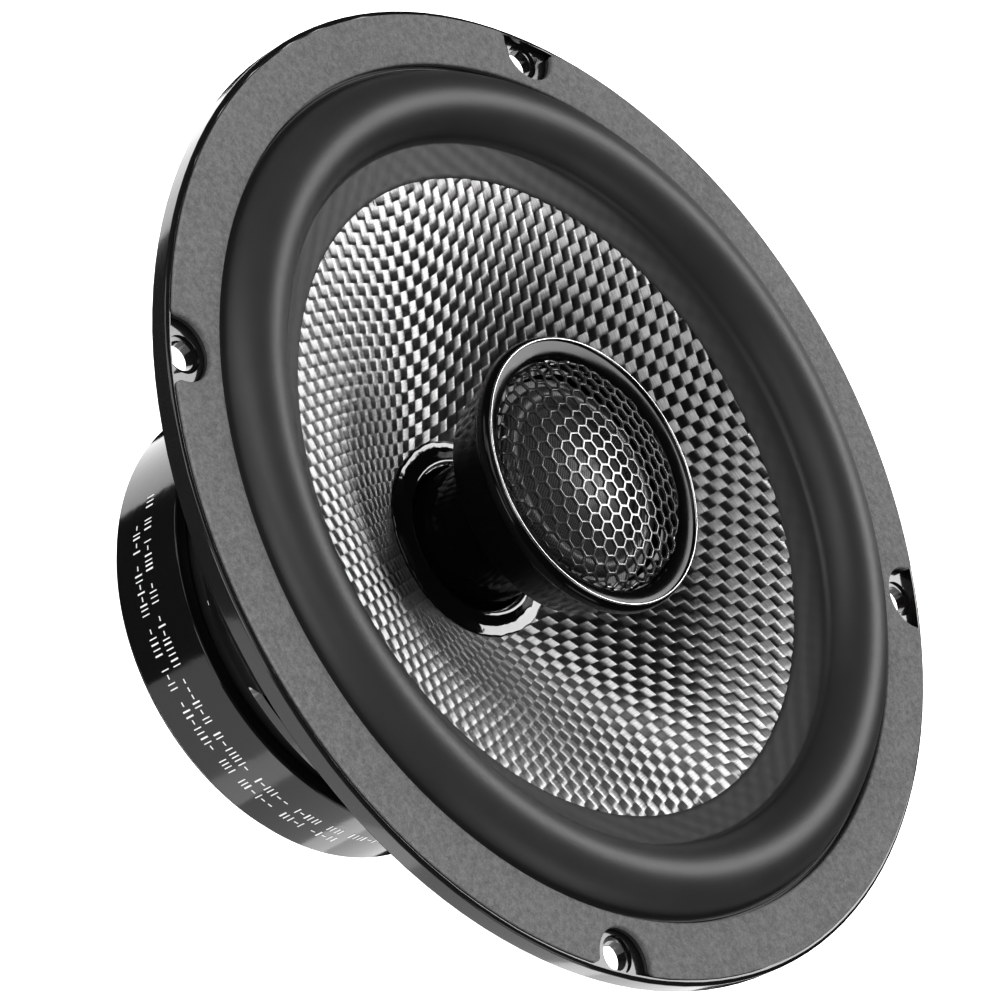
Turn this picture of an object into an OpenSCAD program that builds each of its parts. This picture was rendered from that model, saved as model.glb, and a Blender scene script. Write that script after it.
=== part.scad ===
// Coaxial car loudspeaker of the 165 mm class: a woven cone in a steel basket, with a
// dome tweeter on a post that stands on the motor's pole and comes out through the cone.
// Origin: centre of the mounting flange's back face. +Z points out of the front.
// The screw holes sit at 45 degrees and every 90 degrees from there.

/* [Mounting flange] */
// Outer diameter of the flange
flange_d = 165; // [164:0.5:167]
// Thickness of the flange
flange_t = 2.25; // [2.2:0.05:2.6]
// Diameter of the circle through the screw holes
screw_pcd = 157; // [156.5:0.1:157.5]
// Diameter of a screw hole
screw_hole_d = 4.8; // [4:0.1:5]
// Overall depth behind the flange
depth = 62; // [61:0.25:64]

/* [Basket] */
// Outer diameter of the basket just behind the flange, which passes the mounting cut-out
mouth_d = 145; // [144.5:0.5:145.5]
// Thickness of the basket's sheet
sheet_t = 1.2; // [1:0.1:1.4]
// Number of spokes
spokes = 6; // [6:1:6]
// Angle of the first spoke, in degrees
spoke_az = 15; // [15:1:15]
// Width of a spoke at the top of the windows
spoke_top_w = 21; // [18:1:22]
// Width of a spoke at the foot of the windows
spoke_foot_w = 13; // [12:1:15]

/* [Cone and surround] */
// Radius at which the visible weave ends and the surround's glued rim begins
weave_r = 54.2; // [54:0.1:54.4]
// Depth of the cone's throat below the flange's back face
throat_depth = 21.5; // [20:0.5:22]
// Radius of the middle of the surround's roll
roll_mid_r = 65.8; // [65.7:0.1:65.9]
// Outer radius of the roll's half circle
roll_r = 5.8; // [5.7:0.1:5.9]
// Inner radius of the voice coil's former
former_r = 12.6; // [12.5:0.05:12.7]

/* [Motor] */
// Outer radius of the back plate
back_plate_r = 39.9; // [39.5:0.1:39.9]
// Thickness of the back plate
back_plate_t = 6; // [6:0.5:7]
// Thickness of the ferrite ring
magnet_t = 10; // [9:0.5:10]
// Thickness of the top plate
top_plate_t = 6; // [5:0.5:6]

/* [Tweeter] */
// Radius of the post between the pole and the tweeter's cup
post_r = 11.7; // [11.5:0.05:11.8]
// Largest radius of the tweeter's bezel
bezel_r = 23.3; // [23:0.1:23.5]
// Radius at the grille's rim
grille_r = 19.4; // [19.2:0.1:19.4]
// Radius of the sphere that the grille is part of
grille_sphere_r = 60; // [50:1:80]
// Distance between neighbouring holes of the grille
grille_pitch = 2.6; // [2.5:0.1:3.5]
// Width of the web between two holes of the grille
grille_web = 0.4; // [0.35:0.05:0.6]

/* [Hidden] */

fine = 128;
coarse = 48;
over = 1;          // how far a cutter runs past what it cuts

// Heights, from the back plate upwards
back_z = -depth;
magnet_z = back_z + back_plate_t;
top_plate_z = magnet_z + magnet_t;
base_z = top_plate_z + top_plate_t;
base_top_z = base_z + sheet_t;

// Basket
flange_r = flange_d / 2;
mouth_r = mouth_d / 2;
base_r = 42;                                // where the sloping wall would meet the base
wall_top_z = base_z + mouth_r - base_r;     // the wall slopes at 45 degrees
base_bend_r = 3;
mouth_bend_r = 4;
centre_hole_r = 15;
flange_round = 0.6;
flange_back_round = 0.4;
lip_w = 0.85;                               // the flange's raised rim, round the gasket
lip_h = 1.2;
screw_r = screw_hole_d / 2;
lip_r = flange_r - lip_w;
lip_top_z = flange_t + lip_h;
screw_recess_r = 3.1;
screw_recess_depth = 0.5;
window_foot_r = 45.5;
window_top_r = 74;
window_top_z = -0.8;                        // the windows end just under the flange
window_corner_r = 3;
rivet_ring_r = 27;
rivet_r = 1.5;
rivet_head_r = 2.8;
rivet_head_h = 1.2;
rivet_grip = 3.2;
hole_play = 0.05;

// Gasket and the surround's outer foot
foot_t = 0.55;
foot_setback = 1.1;
gasket_t = 1.29;
gasket_inner_r = 72.65;
gasket_play = 0.1;                          // between gasket and rim
gasket_round = 0.35;
notch_r = 5.45;
notch_mid_r = 80;

// Cone: a parabola from the throat to the edge of the weave, then a straight rim
throat_r = 16;
rim_slope = 0.36;
cone_r = 59.6;
cone_t = 0.7;
weave_z = -0.1;
rim_t = 0.35;
roll_t = 0.9;
roll_z = 2.5;
former_t = 0.2;
former_top_z = -20;
former_bottom_z = base_z - 8.5;
coil_t = 0.6;
coil_bottom_z = base_z - 8;
coil_top_z = base_z + 3;
collar_r = 16.9;
collar_h = 0.5;              // height of the fillet over the cone and over the former
collar_edge = 0.6;
collar_dip = 0.2;

// Spider
spider_z = -30;
spider_t = 0.5;
spider_wave = 1.1;
spider_waves = 5;
spider_inner_flat = 14;
spider_outer_flat = 33.6;
spider_r = 37.6;
spider_ring_r = 38.2;

// Motor
pole_r = 12.2;
pole_top_z = base_z + 0.5;
pole_bore_r = 4;
nut_recess_r = 8;
nut_z = back_z + 2.6;
nut_h = 3;
nut_corner_r = 6.3;
lead_groove_w = 3;
lead_groove_h = 2.1;
plate_round = 1.2;
top_plate_r = 38;
top_plate_bore_r = 13.8;
magnet_r = 39.6;
magnet_bore_r = 20;
magnet_bevel = 0.8;
boot_r = 40.73;
boot_wall = 0.8;
boot_lip_t = 0.65;
boot_lip_r = 38.3;
boot_foot_z = back_z + 1.68;
boot_round = 0.5;

// Tweeter
post_bore_r = 9.7;
post_floor_z = pole_top_z + 3.5;
spigot_r = 3.95;
lead_bore_r = 2.3;
flare_z = -8;
cup_foot_r = 19.8;
cup_foot_z = -3.3;
cup_foot_round = 0.4;
cup_floor_z = -1.8;
cup_top_z = 5.2;
cup_top_r = 22.3;
cup_wall = 1.5;
pot_r = 17;
pot_gap_r = 13.2;
pot_bore_r = 14.2;
pot_floor_t = 1.4;
pot_top_z = 3.2;
pole_plate_z = 1.6;
pole_plate_r = 11.6;
slug_r = 10.8;
tweeter_coil_r = 12;
tweeter_coil_t = 0.8;
tweeter_coil_z = 0.6;
dome_z = 4;
dome_h = 3.6;
dome_base_r = 12.8;
dome_t = 0.25;
dome_ring_top_z = 3.9;
suspension_t = 0.2;
suspension_roll_r = 1.7;
suspension_foot_w = 1.2;
dome_ring_in = 0.4;
dome_ring_out = 0.6;
grille_rim_z = 8;
grille_t = 0.5;
grille_foot_z = 5.6;
rim_z = 8.86;
rim_r = 22.53;
ledge_r = dome_base_r + 5;
grille_play = 0.2;
bezel_foot = 0.6;           // the bezel's small steps, from its foot to its rim
bezel_skirt = 1.4;
bezel_turn = 1.5;
bezel_lip = 0.85;
trim_h = 0.5;
trim_in = 0.25;
trim_out = 0.15;
trim_taper = 0.05;
grille_margin = 0.4;

// Terminals, in a frame on one spoke: X down the slope, Y along the rim, Z out of the wall
terminal_az = 75;
terminal_mid_r = 57;
pad_half_w = 9;
pad_x = 8;
pad_in = 2;
pad_out = 1;
board_half_w = 12;
board_t = 1.6;
board_top = pad_out + board_t;
tab_y = 6;
tab_t = 0.8;
tab_foot_x = [-3.9, 3.6];
tab_top = 12;
tab_hole_r = 0.8;
tab_hole_top = 3;
tab_point = 1;
positive_w = 6.3;
negative_w = 4.8;
stud_r = 1.2;
stud_head_r = 2.1;
stud_head_h = 0.8;
can_x = 16;
can_r = 5;
can_half_l = 7.5;
can_lift = 5.9;
cradle_x = 8;
cradle_y = 9;
cradle_h = 2.6;
can_wire_r = 0.35;
can_wire_y = 8.9;
can_wire_in = 1.5;
can_rim = 0.6;

// Held wires. Points are [x, y, z], chosen by hand.
wire_sides = 8;
tinsel_wire_r = 0.5;
tinsel_route = [[54.5, 0, -22.5], [52, 0, -24.4], [47.5, 0, -25.8], [42.5, 0, -25.8], [37.5, 0, -24.2],
                [33, 0, -21.4], [29.5, 0, -18.2], [27.2, 0, -15.8], [26.4, 0, -14.2]];
tweeter_wire_r = 0.9;
tweeter_route = [[0, 0, -2.6], [0, 0, -20], [0, 0, -40], [0, 0, -55], [0, 0.3, -57.2], [0, 1.2, -59.3],
                 [0, 2.9, -60.6], [0, 5.2, -60.95], [0, 20, -60.95], [0, 36, -60.95], [0, 38.8, -60.9],
                 [0, 40.6, -60.3], [0, 41.6, -59.1], [0, 41.9, -57.4], [0, 41.9, -52], [0, 42, -47],
                 [0, 42.6, -44.4], [0.3, 44.6, -41.2], [1.2, 48, -37.6], [2.93, 52.66, -32.9]];

// Points on an arc about [cx, cy], from angle a to angle b in degrees
function arc(cx, cy, r, a, b, n = 8) =
    [for (i = [0:n]) let (t = a + (b - a) * i / n) [cx + r * cos(t), cy + r * sin(t)]];
function reversed(list) = [for (i = [len(list) - 1:-1:0]) list[i]];
function unit(v) = v / norm(v);

// Height of the cone's front face at radius r
cone_rise = weave_z + throat_depth;
function cone_z(r) =
    r > weave_r ? weave_z + (r - weave_r) * rim_slope
                : let (u = (r - throat_r) / (weave_r - throat_r),
                       pull = 2 - rim_slope * (weave_r - throat_r) / cone_rise)
                  -throat_depth + cone_rise * (pull * u + (1 - pull) * u * u);
function cone_line(r0, r1, n) = [for (i = [0:n]) let (r = r0 + (r1 - r0) * i / n) [r, cone_z(r)]];
function lowered(points, by) = [for (p = points) [p.x, p.y - by]];

// Height of the spider's middle at radius r
function spider_wave_z(r) =
    let (t = (r - spider_inner_flat) / (spider_outer_flat - spider_inner_flat))
    spider_z + (t < 0 || t > 1 ? 0 : spider_wave * sin(360 * spider_waves * t));

// A round wire swept along its points, with flat ends. side is a direction across the route.
function heading(p, i) = unit(p[min(i + 1, len(p) - 1)] - p[max(i - 1, 0)]);
function wire_ring(centre, along, side, r) =
    let (n = unit(cross(along, side)), b = cross(n, along))
    [for (k = [0:wire_sides - 1]) let (t = 360 * k / wire_sides) centre + r * (n * cos(t) + b * sin(t))];
module swept_wire(p, r, side) {
    rings = [for (i = [0:len(p) - 1]) each wire_ring(p[i], heading(p, i), side, r)];
    last = (len(p) - 1) * wire_sides;
    walls = [for (i = [0:len(p) - 2], k = [0:wire_sides - 1])
             let (a = i * wire_sides + k, b = i * wire_sides + (k + 1) % wire_sides)
             [a, b, b + wire_sides, a + wire_sides]];
    ends = [[for (k = [wire_sides - 1:-1:0]) k], [for (k = [0:wire_sides - 1]) last + k]];
    polyhedron(rings, concat(walls, ends));
}

// A straight round rod from point a to point b
module rod(a, b, r) {
    d = b - a;
    translate(a) rotate([0, acos(d.z / norm(d)), atan2(d.y, d.x)]) cylinder(h = norm(d), r = r, $fn = 24);
}

module ring(inner, outer, low, high, fn = fine) {
    rotate_extrude($fn = fn) polygon([[inner, low], [outer, low], [outer, high], [inner, high]]);
}

module at_screws() {
    for (k = [0:3]) rotate(45 + 90 * k) translate([screw_pcd / 2, 0, 0]) children();
}

module at_rivets() {
    for (k = [0:3]) rotate(90 * k) translate([rivet_ring_r, 0, 0]) children();
}

// The terminal frame on its spoke
module on_spoke() {
    rotate(terminal_az) translate([terminal_mid_r, 0, base_z + terminal_mid_r - base_r])
        rotate([0, 135, 0]) children();
}

// The U-shaped notch round a screw hole, open to the rim
module notches(low, high) {
    for (k = [0:3]) rotate(45 + 90 * k) translate([notch_mid_r, 0, low]) {
        cylinder(h = high - low, r = notch_r, $fn = coarse);
        translate([0, -notch_r, 0]) cube([notch_r + over, 2 * notch_r, high - low]);
    }
}

module windows() {
    pitch = 360 / spokes;
    top_half = pitch / 2 - asin(spoke_top_w / 2 / window_top_r);
    foot_half = pitch / 2 - asin(spoke_foot_w / 2 / window_foot_r);
    outline = concat(arc(0, 0, window_top_r, -top_half, top_half, 12),
                     arc(0, 0, window_foot_r, foot_half, -foot_half, 12));
    for (k = [0:spokes - 1]) rotate(spoke_az + pitch * (k + 0.5))
        translate([0, 0, base_z - over]) linear_extrude(window_top_z - base_z + over)
            offset(r = window_corner_r, $fn = 24) offset(delta = -window_corner_r) polygon(outline);
}

basket_base_mid = [base_r - base_bend_r * tan(22.5), base_z + base_bend_r];
basket_mouth_mid = [mouth_r - mouth_bend_r, wall_top_z + mouth_bend_r * tan(22.5)];

module basket() {
    outside = concat(
        [[centre_hole_r, base_z]],
        arc(basket_base_mid.x, basket_base_mid.y, base_bend_r, -90, -45, 6),
        arc(basket_mouth_mid.x, basket_mouth_mid.y, mouth_bend_r, -45, 0, 6),
        [[mouth_r, 0]],
        arc(flange_r - flange_back_round, flange_back_round, flange_back_round, -90, 0, 4),
        arc(flange_r - flange_round, lip_top_z - flange_round, flange_round, 0, 90, 6),
        [[lip_r, lip_top_z], [lip_r, flange_t]]);
    inside = concat(
        [[mouth_r - sheet_t, flange_t]],
        reversed(arc(basket_mouth_mid.x, basket_mouth_mid.y, mouth_bend_r - sheet_t, -45, 0, 6)),
        reversed(arc(basket_base_mid.x, basket_base_mid.y, base_bend_r - sheet_t, -90, -45, 6)),
        [[centre_hole_r, base_top_z]]);
    color("#202124") difference() {
        union() {
            difference() {
                rotate_extrude($fn = fine) polygon(concat(outside, inside));
                windows();
            }
            on_spoke() {
                translate([-pad_x, -pad_half_w, -pad_in]) cube([2 * pad_x, 2 * pad_half_w, pad_in + pad_out]);
                translate([can_x - cradle_x / 2, -cradle_y / 2, -sheet_t / 2])
                    cube([cradle_x, cradle_y, cradle_h + sheet_t / 2]);
            }
        }
        at_screws() {
            translate([0, 0, -over]) cylinder(h = flange_t + 2 * over, r = screw_r, $fn = coarse);
            translate([0, 0, flange_t - screw_recess_depth])
                cylinder(h = over, r = screw_recess_r, $fn = coarse);
        }
        at_rivets() translate([0, 0, base_z - over])
            cylinder(h = sheet_t + 2 * over, r = rivet_r + hole_play, $fn = coarse);
        on_spoke() {
            for (s = [-1, 1]) translate([0, s * tab_y, -pad_in - over])
                cylinder(h = pad_in + pad_out + 2 * over, r = stud_r + hole_play, $fn = coarse);
            translate([can_x, cradle_y, can_lift]) rotate([90, 0, 0])
                cylinder(h = 2 * cradle_y, r = can_r + hole_play, $fn = coarse);
        }
    }
}

module basket_rivets() {
    color("silver") at_rivets() {
        translate([0, 0, base_top_z - rivet_grip]) cylinder(h = rivet_grip, r = rivet_r, $fn = coarse);
        translate([0, 0, base_top_z])
            cylinder(h = rivet_head_h, r1 = rivet_head_r, r2 = rivet_r, $fn = coarse);
    }
}

module gasket() {
    low = flange_t + foot_t;
    high = low + gasket_t;
    outer = lip_r - gasket_play;
    outline = concat(
        [[gasket_inner_r, low], [outer, low]],
        arc(outer - gasket_round, high - gasket_round, gasket_round, 0, 90, 4),
        arc(gasket_inner_r + gasket_round, high - gasket_round, gasket_round, 90, 180, 4));
    color("dimgray") difference() {
        rotate_extrude($fn = fine) polygon(outline);
        notches(low - over, high + over);
    }
}

module surround() {
    rim = [[weave_r, cone_z(weave_r)], [cone_r, cone_z(cone_r)]];
    foot_z = flange_t + foot_t;
    foot_r = flange_r - foot_setback;
    outline = concat(
        rim,
        reversed(arc(roll_mid_r, roll_z, roll_r - roll_t, 0, 180, 16)),
        [[mouth_r - sheet_t, flange_t], [foot_r, flange_t], [foot_r, foot_z],
         [roll_mid_r + roll_r + roll_t, foot_z]],
        arc(roll_mid_r, roll_z, roll_r, 4, 180, 20),
        [[weave_r, cone_z(weave_r) + rim_t]]);
    color("#26262a") difference() {
        rotate_extrude($fn = fine) polygon(outline);
        notches(flange_t - over, foot_z + over);
    }
}

module cone() {
    front = concat(cone_line(former_r + former_t, weave_r, 14), [[cone_r, cone_z(cone_r)]]);
    color("lightslategray") rotate_extrude($fn = fine)
        polygon(concat(front, reversed(lowered(front, cone_t))));
}

module coil_collar() {
    inner = former_r + former_t;
    outline = concat(
        cone_line(inner, collar_r, 3),
        [[collar_r - collar_edge, cone_z(collar_r) + collar_h],
         [(inner + collar_r) / 2, former_top_z + collar_h],
         [inner + collar_edge, former_top_z], [inner, former_top_z - collar_dip]]);
    color("black") rotate_extrude($fn = fine) polygon(outline);
}

module voice_coil_former() {
    color("goldenrod") ring(former_r, former_r + former_t, former_bottom_z, former_top_z);
}

module voice_coil() {
    color("peru") ring(former_r + former_t, former_r + former_t + coil_t, coil_bottom_z, coil_top_z);
}

module spider() {
    inner = former_r + former_t;
    steps = 60;
    middle = concat(
        [[inner, spider_z]],
        [for (i = [0:steps]) let (r = spider_inner_flat + (spider_outer_flat - spider_inner_flat) * i / steps)
         [r, spider_wave_z(r)]],
        [[spider_r, spider_z]]);
    color("gold") rotate_extrude($fn = fine)
        polygon(concat(lowered(middle, spider_t / 2), reversed(lowered(middle, -spider_t / 2))));
}

module spider_ring() {
    color("#303030") ring(spider_outer_flat, spider_ring_r, base_top_z, spider_z - spider_t / 2);
}

module top_plate() {
    color("silver") difference() {
        ring(top_plate_bore_r, top_plate_r, top_plate_z, base_z);
        at_rivets() translate([0, 0, base_top_z - rivet_grip - over / 2])
            cylinder(h = rivet_grip + over, r = rivet_r + hole_play, $fn = coarse);
    }
}

module magnet() {
    color("#38383c") rotate_extrude($fn = fine) polygon([
        [magnet_bore_r, magnet_z], [magnet_r - magnet_bevel, magnet_z], [magnet_r, magnet_z + magnet_bevel],
        [magnet_r, top_plate_z - magnet_bevel], [magnet_r - magnet_bevel, top_plate_z],
        [magnet_bore_r, top_plate_z]]);
}

module yoke() {
    outline = concat(
        [[pole_bore_r, back_z]],
        arc(back_plate_r - plate_round, back_z + plate_round, plate_round, -90, 0, 5),
        [[back_plate_r, magnet_z], [pole_r, magnet_z], [pole_r, pole_top_z], [pole_bore_r, pole_top_z]]);
    color("silver") difference() {
        rotate_extrude($fn = fine) polygon(outline);
        translate([0, 0, back_z - over])
            cylinder(h = nut_z + nut_h - back_z + over, r = nut_recess_r, $fn = coarse);
        translate([-lead_groove_w / 2, 0, back_z - over])
            cube([lead_groove_w, back_plate_r + over, lead_groove_h + over]);
    }
}

module magnet_boot() {
    inner = boot_r - boot_wall;
    top = top_plate_z + boot_lip_t;
    outline = concat(
        [[inner, boot_foot_z], [boot_r, boot_foot_z]],
        arc(boot_r - boot_round, top - boot_round, boot_round, 0, 90, 4),
        [[boot_lip_r, top], [boot_lip_r, top_plate_z], [inner, top_plate_z]]);
    color("black") difference() {
        rotate_extrude($fn = fine) polygon(outline);
        translate([-lead_groove_w / 2, inner - over, boot_foot_z - over])
            cube([lead_groove_w, boot_wall + 2 * over, lead_groove_h + over]);
    }
}

module tweeter_post() {
    color("#18181a") rotate_extrude($fn = fine) polygon([
        [lead_bore_r, nut_z], [spigot_r, nut_z], [spigot_r, pole_top_z], [post_r, pole_top_z],
        [post_r, flare_z], [post_bore_r, flare_z], [post_bore_r, post_floor_z], [lead_bore_r, post_floor_z]]);
}

module post_nut() {
    color("silver") translate([0, 0, nut_z]) difference() {
        cylinder(h = nut_h, r = nut_corner_r, $fn = 6);
        translate([0, 0, -over]) cylinder(h = nut_h + 2 * over, r = pole_bore_r, $fn = coarse);
    }
}

module tweeter_housing() {
    color("#18181a") rotate_extrude($fn = fine) polygon([
        [post_bore_r, flare_z], [post_r, flare_z],
        [cup_foot_r - cup_foot_round, cup_foot_z - cup_foot_round / 2],
        [cup_foot_r, cup_foot_z], [cup_top_r, cup_top_z], [cup_top_r - cup_wall, cup_top_z],
        [cup_foot_r - cup_wall, cup_floor_z], [post_bore_r, cup_floor_z]]);
}

module tweeter_bezel() {
    bore = grille_r + grille_play;
    seat_z = rim_z - trim_h;
    color("#101012") rotate_extrude($fn = fine) polygon([
        [ledge_r, cup_top_z], [cup_top_r, cup_top_z], [bezel_r - grille_play, cup_top_z + bezel_foot],
        [bezel_r, cup_top_z + bezel_skirt], [bezel_r, rim_z - bezel_turn],
        [bezel_r - trim_in, rim_z - bezel_lip],
        [rim_r + trim_in, seat_z], [rim_r - trim_in, seat_z], [bore + trim_h, grille_rim_z - bezel_lip],
        [bore, grille_rim_z - bezel_turn], [bore, grille_foot_z], [ledge_r, grille_foot_z]]);
}

module bezel_trim() {
    color("silver") rotate_extrude($fn = fine) polygon([
        [rim_r - trim_in, rim_z - trim_h], [rim_r + trim_out, rim_z - trim_h],
        [rim_r + trim_out - trim_taper, rim_z], [rim_r - trim_in + trim_taper, rim_z]]);
}

// A shell of even thickness, cut from a sphere by a plane, standing on its rim
module cap_shell(rim, height, shell_t, low) {
    sphere_r = (rim * rim + height * height) / (2 * height);
    inner_r = sphere_r - shell_t;
    mid_z = low + height - sphere_r;
    edge = asin(rim / sphere_r);
    inner_edge = acos((sphere_r - height) / inner_r);
    rotate_extrude($fn = fine) polygon(concat(
        arc(0, mid_z, sphere_r, 90 - edge, 90, 12), arc(0, mid_z, inner_r, 90, 90 - inner_edge, 12)));
}

module tweeter_grille() {
    cap_h = grille_sphere_r - sqrt(grille_sphere_r * grille_sphere_r - grille_r * grille_r);
    rows = ceil(grille_r / grille_pitch) + 1;
    hole_r = (grille_pitch - grille_web) / sqrt(3);
    reach = grille_r - grille_web - hole_r - grille_margin;
    color("dimgray") {
        difference() {
            cap_shell(grille_r, cap_h, grille_t, grille_rim_z);
            translate([0, 0, grille_foot_z]) linear_extrude(grille_rim_z + cap_h - grille_foot_z + over)
                for (row = [-rows:rows], col = [-rows:rows]) {
                    x = (col + (row % 2 == 0 ? 0 : 0.5)) * grille_pitch;
                    y = row * grille_pitch * sqrt(3) / 2;
                    if (norm([x, y]) < reach) translate([x, y]) rotate(30) circle(r = hole_r, $fn = 6);
                }
        }
        ring(grille_r - grille_t, grille_r, grille_foot_z, grille_rim_z);
    }
}

module tweeter_dome() {
    color("#303036") cap_shell(dome_base_r, dome_h, dome_t, dome_z);
}

module tweeter_suspension() {
    mid = dome_base_r + suspension_roll_r;
    low = dome_ring_top_z;
    foot_r = mid + suspension_roll_r + suspension_foot_w;
    color("#303036") rotate_extrude($fn = fine) polygon(concat(
        reversed(arc(mid, low, suspension_roll_r - suspension_t, 0, 180, 10)),
        [[foot_r, low], [foot_r, low + suspension_t], [mid + suspension_roll_r, low + suspension_t]],
        arc(mid, low, suspension_roll_r, 7, 180, 12)));
}

module tweeter_coil() {
    color("peru") ring(tweeter_coil_r, tweeter_coil_r + tweeter_coil_t, tweeter_coil_z, dome_z);
}

module tweeter_pot() {
    color("silver") rotate_extrude($fn = fine) polygon([
        [0, cup_floor_z], [pot_r, cup_floor_z], [pot_r, pot_top_z], [pot_gap_r, pot_top_z],
        [pot_gap_r, pole_plate_z], [pot_bore_r, pole_plate_z], [pot_bore_r, cup_floor_z + pot_floor_t],
        [0, cup_floor_z + pot_floor_t]]);
}

module tweeter_magnet() {
    low = cup_floor_z + pot_floor_t;
    color("lightgray") translate([0, 0, low]) cylinder(h = pole_plate_z - low, r = slug_r, $fn = fine);
}

module tweeter_pole_plate() {
    color("silver") translate([0, 0, pole_plate_z])
        cylinder(h = pot_top_z - pole_plate_z, r = pole_plate_r, $fn = fine);
}

module dome_ring() {
    color("#202022") ring(pot_gap_r + dome_ring_in, pot_r + dome_ring_out, pot_top_z, dome_ring_top_z);
}

module terminal_board() {
    color("saddlebrown") on_spoke() difference() {
        translate([-pad_x, -board_half_w, pad_out]) cube([2 * pad_x, 2 * board_half_w, board_t]);
        for (s = [-1, 1]) translate([0, s * tab_y, pad_out - over])
            cylinder(h = board_t + 2 * over, r = stud_r + hole_play, $fn = coarse);
    }
}

// An L-shaped blade: a foot under its rivet, and a tab that stands out from the board
module spade(y, w) {
    tab_l = tab_top - board_top;
    on_spoke() translate([0, y, board_top]) difference() {
        union() {
            translate([tab_foot_x[0], -w / 2, 0]) cube([tab_foot_x[1] - tab_foot_x[0], w, tab_t]);
            translate([tab_foot_x[0] + tab_t, 0, 0]) rotate([0, -90, 0]) linear_extrude(tab_t)
                polygon([[0, -w / 2], [tab_l - tab_point, -w / 2], [tab_l, tab_point - w / 2],
                         [tab_l, w / 2 - tab_point], [tab_l - tab_point, w / 2], [0, w / 2]]);
        }
        translate([0, 0, -over]) cylinder(h = tab_t + 2 * over, r = stud_r + hole_play, $fn = coarse);
        translate([tab_foot_x[0] - over, 0, tab_l - tab_hole_top]) rotate([0, 90, 0])
            cylinder(h = tab_t + 2 * over, r = tab_hole_r, $fn = coarse);
    }
}

module positive_spade() {
    color("gold") spade(-tab_y, positive_w);
}

module negative_spade() {
    color("gold") spade(tab_y, negative_w);
}

module terminal_rivets() {
    color("silver") on_spoke() for (s = [-1, 1]) translate([0, s * tab_y, 0]) {
        top = board_top + tab_t;
        translate([0, 0, -pad_in - stud_head_h]) cylinder(h = stud_head_h, r = stud_head_r, $fn = coarse);
        translate([0, 0, -pad_in - stud_head_h])
            cylinder(h = top + pad_in + stud_head_h, r = stud_r, $fn = coarse);
        translate([0, 0, top]) cylinder(h = stud_head_h, r = stud_head_r, $fn = coarse);
    }
}

module tinsel_leads() {
    color("orange") rotate(terminal_az) for (s = [-1, 1]) translate([0, s * tab_y, 0])
        swept_wire(tinsel_route, tinsel_wire_r, [0, 1, 0]);
}

module capacitor() {
    color("navy") on_spoke() translate([can_x, -can_half_l, can_lift]) rotate([-90, 0, 0])
        rotate_extrude($fn = 64) polygon([
            [0, 0], [can_r - can_rim, 0], [can_r, can_rim], [can_r, 2 * can_half_l - can_rim],
            [can_r - can_rim, 2 * can_half_l], [0, 2 * can_half_l]]);
}

// Each wire leaves an end of the can, turns, and runs to the board
module capacitor_leads() {
    lift = board_top + can_wire_r;
    color("silver") on_spoke() for (s = [-1, 1]) {
        out = [can_x, s * can_wire_y, can_lift];
        end = [pad_x - can_wire_in, s * can_wire_y, lift];
        rod([can_x, s * can_half_l, can_lift], out, can_wire_r);
        translate(out) sphere(r = can_wire_r, $fn = 24);
        rod(out, end, can_wire_r);
    }
}

module tweeter_lead() {
    color("dimgray") swept_wire(tweeter_route, tweeter_wire_r, [1, 0, 0]);
}

basket();
basket_rivets();
gasket();
surround();
cone();
coil_collar();
voice_coil_former();
voice_coil();
spider();
spider_ring();
top_plate();
magnet();
yoke();
magnet_boot();
tweeter_post();
post_nut();
tweeter_housing();
tweeter_bezel();
bezel_trim();
tweeter_grille();
tweeter_dome();
tweeter_suspension();
tweeter_coil();
tweeter_pot();
tweeter_magnet();
tweeter_pole_plate();
dome_ring();
terminal_board();
positive_spade();
negative_spade();
terminal_rivets();
tinsel_leads();
capacitor();
capacitor_leads();
tweeter_lead();
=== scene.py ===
"""Looks of a 165 mm coaxial car speaker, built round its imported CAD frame."""

import math

import bmesh
import bpy
import numpy as np
from mathutils import Matrix, Vector


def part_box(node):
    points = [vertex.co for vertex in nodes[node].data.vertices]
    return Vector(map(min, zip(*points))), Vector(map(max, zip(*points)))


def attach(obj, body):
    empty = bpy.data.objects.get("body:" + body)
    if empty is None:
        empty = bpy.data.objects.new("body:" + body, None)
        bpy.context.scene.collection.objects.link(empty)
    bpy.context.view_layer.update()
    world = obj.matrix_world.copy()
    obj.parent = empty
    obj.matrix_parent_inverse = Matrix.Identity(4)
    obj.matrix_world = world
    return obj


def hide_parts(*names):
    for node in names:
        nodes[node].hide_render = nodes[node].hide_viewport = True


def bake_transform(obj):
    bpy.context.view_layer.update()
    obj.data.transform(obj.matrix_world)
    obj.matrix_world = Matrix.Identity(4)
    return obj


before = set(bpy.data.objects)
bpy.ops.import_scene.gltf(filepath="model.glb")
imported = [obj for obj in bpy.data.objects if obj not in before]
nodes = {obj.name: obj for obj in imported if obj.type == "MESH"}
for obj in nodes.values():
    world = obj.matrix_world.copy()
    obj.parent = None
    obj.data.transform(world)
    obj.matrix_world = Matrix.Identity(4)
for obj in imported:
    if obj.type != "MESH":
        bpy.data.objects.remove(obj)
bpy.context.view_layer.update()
MM = 0.001


def low(node):
    """The lowest corner of a CAD node's box, in millimetres."""
    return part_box(node)[0] / MM


def high(node):
    """The highest corner of a CAD node's box, in millimetres."""
    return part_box(node)[1] / MM


# ---------------------------------------------------------------- driving sizes, in millimetres
BACK_Z = low("yoke").z
NOTCH_MID_R, NOTCH_R, NOTCH_FILLET = 80.0, 5.45, 1.0
FOOT_LOW, FOOT_TOP = 2.25, low("gasket").z
GASKET_TOP = high("gasket").z
GASKET_OUT = high("gasket").x
GASKET_IN = 72.65

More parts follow.
